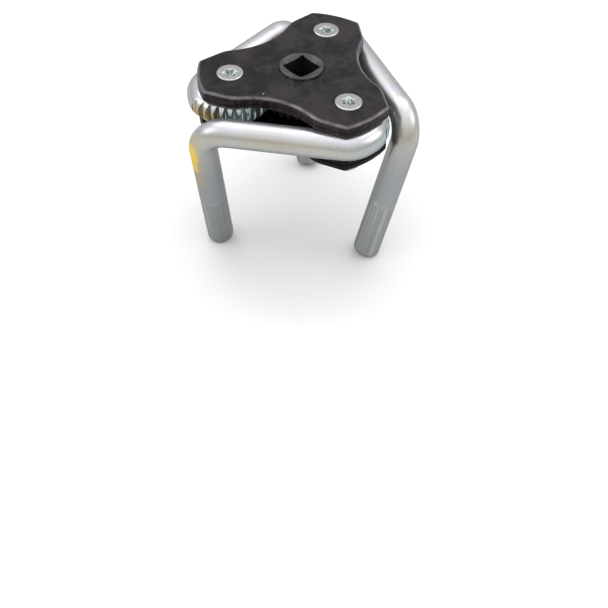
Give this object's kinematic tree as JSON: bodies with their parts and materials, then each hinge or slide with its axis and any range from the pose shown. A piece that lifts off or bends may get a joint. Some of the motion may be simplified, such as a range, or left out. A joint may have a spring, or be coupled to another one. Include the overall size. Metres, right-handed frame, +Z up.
{
  "type": "oil filter wrench",
  "caption": "Geared oil filter wrench: lobed black steel plates, a square-drive centre gear and bent round steel jaw arms with toothed heads that swing together to grip a canister.",
  "frame": {"origin": "on the square drive's axis at the height of the assembly's centre of mass, jaws in the rest position", "axes": "+Z up along the square drive's axis, away from the feet; +X through the first pivot screw"},
  "size_m": [0.0811, 0.0847, 0.0731],
  "materials": {
    "plate_top_black": "black oxide, semi-matt",
    "plate_bottom_black": "black oxide, semi-matt",
    "gear_dark": "dark phosphate",
    "arm_zinc": "bright zinc plate",
    "screw_zinc": "zinc plate",
    "sleeve_steel": "plain steel",
    "washer_zinc": "zinc plate",
    "nut_zinc": "zinc plate"
  },
  "bodies": {
    "frame": {"top_plate": "plate_top_black", "bottom_plate": "plate_bottom_black", "pivot_screw_1": "screw_zinc", "pivot_screw_2": "screw_zinc", "pivot_screw_3": "screw_zinc", "pivot_sleeve_1": "sleeve_steel", "pivot_sleeve_2": "sleeve_steel", "pivot_sleeve_3": "sleeve_steel", "lock_washer_1": "washer_zinc", "lock_washer_2": "washer_zinc", "lock_washer_3": "washer_zinc", "hex_nut_1": "nut_zinc", "hex_nut_2": "nut_zinc", "hex_nut_3": "nut_zinc"},
    "drive": {"drive_gear": "gear_dark"},
    "arm_1": {"jaw_arm_1": "arm_zinc"},
    "arm_2": {"jaw_arm_2": "arm_zinc"},
    "arm_3": {"jaw_arm_3": "arm_zinc"}
  },
  "joints": [
    {"name": "drive_turn", "type": "hinge", "parent": "frame", "child": "drive", "pos_m": [0, 0, 0.00662], "axis": [0, 0, 1], "range_deg": [-137.6, 1.3]},
    {"name": "arm_1_pivot", "type": "hinge", "parent": "frame", "child": "arm_1", "pos_m": [0.02565, 0, 0.00662], "axis": [0, 0, 1], "range_deg": [-1.2, 118.1]},
    {"name": "arm_2_pivot", "type": "hinge", "parent": "frame", "child": "arm_2", "pos_m": [-0.01282, 0.02221, 0.00662], "axis": [0, 0, 1], "range_deg": [-1.2, 118.1]},
    {"name": "arm_3_pivot", "type": "hinge", "parent": "frame", "child": "arm_3", "pos_m": [-0.01282, -0.02221, 0.00662], "axis": [0, 0, 1], "range_deg": [-1.2, 118.1]}
  ],
  "couplings": [
    {"joint": "arm_1_pivot", "follows": "drive_turn", "ratio": -0.85714},
    {"joint": "arm_2_pivot", "follows": "drive_turn", "ratio": -0.85714},
    {"joint": "arm_3_pivot", "follows": "drive_turn", "ratio": -0.85714}
  ]
}
